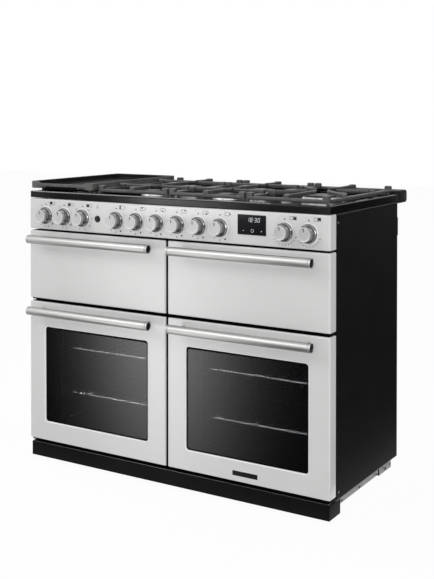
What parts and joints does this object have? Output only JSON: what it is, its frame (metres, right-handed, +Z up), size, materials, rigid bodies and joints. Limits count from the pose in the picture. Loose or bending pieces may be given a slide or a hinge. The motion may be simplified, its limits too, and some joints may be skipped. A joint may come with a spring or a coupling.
{
  "type": "range cooker",
  "caption": "Wide free-standing range cooker with side-opening glazed oven doors, a glide-out grill, a drawer, turning knobs and a gas hob with a griddle.",
  "frame": {"origin": "on the floor, under the middle of the cooker's overall box", "axes": "+X to the cook's right, +Y towards the wall behind, +Z up"},
  "size_m": [1.092, 0.635, 0.923],
  "materials": {
    "white_enamel": "gloss white enamel",
    "black_sheet": "satin black paint",
    "black_hob": "gloss black enamel",
    "galvanised": "galvanised sheet",
    "oven_enamel": "dark grey vitreous enamel",
    "wire_chrome": "bright plated wire",
    "steel": "plain steel sheet",
    "handle_steel": "satin stainless tube",
    "knob_metal": "satin with a bright barrel",
    "bezel_chrome": "bright",
    "window_glass": "dark tinted glass",
    "clock_glass": "gloss black",
    "button_black": "gloss black",
    "brass_parts": "cast and drawn metal",
    "element_steel": "dark oxidised tube",
    "cast_iron": "matt enamelled casting",
    "burner_alloy": "cast alloy",
    "burner_enamel": "matt black enamel",
    "grill_enamel": "dark enamel",
    "seal_rubber": "matt",
    "foot_rubber": "matt black"
  },
  "bodies": {
    "carcass": {"control_panel": "white_enamel", "side_panel_left": "black_sheet", "side_panel_right": "black_sheet", "front_frame": "black_sheet", "plinth": "black_sheet", "hob_top": "black_hob", "rear_vent_trim": "black_hob", "base_frame": "galvanised", "roller_brackets": "galvanised", "back_panel": "galvanised", "hinge_brackets": "galvanised", "drawer_rails": "galvanised", "oven_liners": "oven_enamel", "upper_liners": "oven_enamel", "fan_covers": "oven_enamel", "oven_racks": "wire_chrome", "rack_guides": "wire_chrome", "fan_motors": "steel", "knob_bezels": "bezel_chrome", "clock_display": "clock_glass", "control_bodies": "brass_parts", "heating_elements": "element_steel", "burner_bases": "burner_alloy", "burner_caps": "burner_enamel", "door_seals": "seal_rubber", "front_feet": "foot_rubber"},
    "oven_door_left": {"door_left_front": "white_enamel", "door_left_glass": "window_glass", "door_left_inner": "oven_enamel", "door_left_handle": "handle_steel"},
    "oven_door_right": {"door_right_front": "white_enamel", "door_right_glass": "window_glass", "door_right_inner": "oven_enamel", "door_right_handle": "handle_steel"},
    "grill": {"grill_front": "white_enamel", "grill_handle": "handle_steel", "grill_carriage": "steel", "grill_pan": "grill_enamel"},
    "drawer": {"drawer_front": "white_enamel", "drawer_handle": "handle_steel", "drawer_tray": "steel"},
    "support_left": {"pan_support_left": "cast_iron"},
    "support_centre": {"pan_support_centre": "cast_iron"},
    "support_right": {"pan_support_right": "cast_iron"},
    "griddle_tray": {"griddle": "cast_iron"},
    "fan_wheel_left": {"fan_left": "steel"},
    "fan_wheel_right": {"fan_right": "steel"},
    "rollers": {"rear_rollers": "foot_rubber"},
    "button": {"ignition_button": "button_black"},
    "knob_grill_turner": {"knob_grill": "knob_metal"},
    "knob_left_oven_mode_turner": {"knob_left_oven_mode": "knob_metal"},
    "knob_left_oven_heat_turner": {"knob_left_oven_heat": "knob_metal"},
    "knob_griddle_burner_turner": {"knob_griddle_burner": "knob_metal"},
    "knob_burner_1_turner": {"knob_burner_1": "knob_metal"},
    "knob_burner_2_turner": {"knob_burner_2": "knob_metal"},
    "knob_burner_3_turner": {"knob_burner_3": "knob_metal"},
    "knob_burner_4_turner": {"knob_burner_4": "knob_metal"},
    "knob_burner_5_turner": {"knob_burner_5": "knob_metal"},
    "knob_right_oven_heat_turner": {"knob_right_oven_heat": "knob_metal"},
    "knob_proving_drawer_turner": {"knob_proving_drawer": "knob_metal"}
  },
  "joints": [
    {"name": "oven_door_left_swing", "type": "hinge", "parent": "carcass", "child": "oven_door_left", "pos_m": [-0.534, -0.2335, 0.3], "axis": [0, 0, -1], "range_deg": [0, 105]},
    {"name": "oven_door_right_swing", "type": "hinge", "parent": "carcass", "child": "oven_door_right", "pos_m": [0.534, -0.2335, 0.3], "axis": [0, 0, 1], "range_deg": [0, 105]},
    {"name": "grill_glide", "type": "slide", "parent": "carcass", "child": "grill", "axis": [0, -1, 0], "range_m": [0, 0.3]},
    {"name": "drawer_glide", "type": "slide", "parent": "carcass", "child": "drawer", "axis": [0, -1, 0], "range_m": [0, 0.3]},
    {"name": "fan_left_spin", "type": "hinge", "parent": "carcass", "child": "fan_wheel_left", "pos_m": [-0.275, 0.1725, 0.3], "axis": [0, 1, 0], "continuous": true},
    {"name": "fan_right_spin", "type": "hinge", "parent": "carcass", "child": "fan_wheel_right", "pos_m": [0.275, 0.1725, 0.3], "axis": [0, 1, 0], "continuous": true},
    {"name": "rollers_spin", "type": "hinge", "parent": "carcass", "child": "rollers", "pos_m": [0, 0.1725, 0.02], "axis": [1, 0, 0], "continuous": true},
    {"name": "button_press", "type": "slide", "parent": "carcass", "child": "button", "axis": [0, 1, 0], "range_m": [0, 0.004], "stiffness_N_per_m": 300},
    {"name": "support_left_lift", "type": "slide", "parent": "carcass", "child": "support_left", "axis": [0, 0, 1], "range_m": [0, 0.06]},
    {"name": "support_centre_lift", "type": "slide", "parent": "carcass", "child": "support_centre", "axis": [0, 0, 1], "range_m": [0, 0.06]},
    {"name": "support_right_lift", "type": "slide", "parent": "carcass", "child": "support_right", "axis": [0, 0, 1], "range_m": [0, 0.06]},
    {"name": "griddle_lift", "type": "slide", "parent": "carcass", "child": "griddle_tray", "axis": [0, 0, 1], "range_m": [0, 0.06]},
    {"name": "knob_grill_turn", "type": "hinge", "parent": "carcass", "child": "knob_grill_turner", "pos_m": [-0.476, -0.2775, 0.812], "axis": [0, -1, 0], "range_deg": [-270, 0]},
    {"name": "knob_left_oven_mode_turn", "type": "hinge", "parent": "carcass", "child": "knob_left_oven_mode_turner", "pos_m": [-0.4, -0.2775, 0.812], "axis": [0, -1, 0], "range_deg": [-270, 0]},
    {"name": "knob_left_oven_heat_turn", "type": "hinge", "parent": "carcass", "child": "knob_left_oven_heat_turner", "pos_m": [-0.324, -0.2775, 0.812], "axis": [0, -1, 0], "range_deg": [-270, 0]},
    {"name": "knob_griddle_burner_turn", "type": "hinge", "parent": "carcass", "child": "knob_griddle_burner_turner", "pos_m": [-0.19, -0.2775, 0.812], "axis": [0, -1, 0], "range_deg": [0, 210]},
    {"name": "knob_burner_1_turn", "type": "hinge", "parent": "carcass", "child": "knob_burner_1_turner", "pos_m": [-0.114, -0.2775, 0.812], "axis": [0, -1, 0], "range_deg": [0, 210]},
    {"name": "knob_burner_2_turn", "type": "hinge", "parent": "carcass", "child": "knob_burner_2_turner", "pos_m": [-0.038, -0.2775, 0.812], "axis": [0, -1, 0], "range_deg": [0, 210]},
    {"name": "knob_burner_3_turn", "type": "hinge", "parent": "carcass", "child": "knob_burner_3_turner", "pos_m": [0.038, -0.2775, 0.812], "axis": [0, -1, 0], "range_deg": [0, 210]},
    {"name": "knob_burner_4_turn", "type": "hinge", "parent": "carcass", "child": "knob_burner_4_turner", "pos_m": [0.114, -0.2775, 0.812], "axis": [0, -1, 0], "range_deg": [0, 210]},
    {"name": "knob_burner_5_turn", "type": "hinge", "parent": "carcass", "child": "knob_burner_5_turner", "pos_m": [0.19, -0.2775, 0.812], "axis": [0, -1, 0], "range_deg": [0, 210]},
    {"name": "knob_right_oven_heat_turn", "type": "hinge", "parent": "carcass", "child": "knob_right_oven_heat_turner", "pos_m": [0.404, -0.2775, 0.812], "axis": [0, -1, 0], "range_deg": [-270, 0]},
    {"name": "knob_proving_drawer_turn", "type": "hinge", "parent": "carcass", "child": "knob_proving_drawer_turner", "pos_m": [0.48, -0.2775, 0.812], "axis": [0, -1, 0], "range_deg": [-270, 0]}
  ]
}
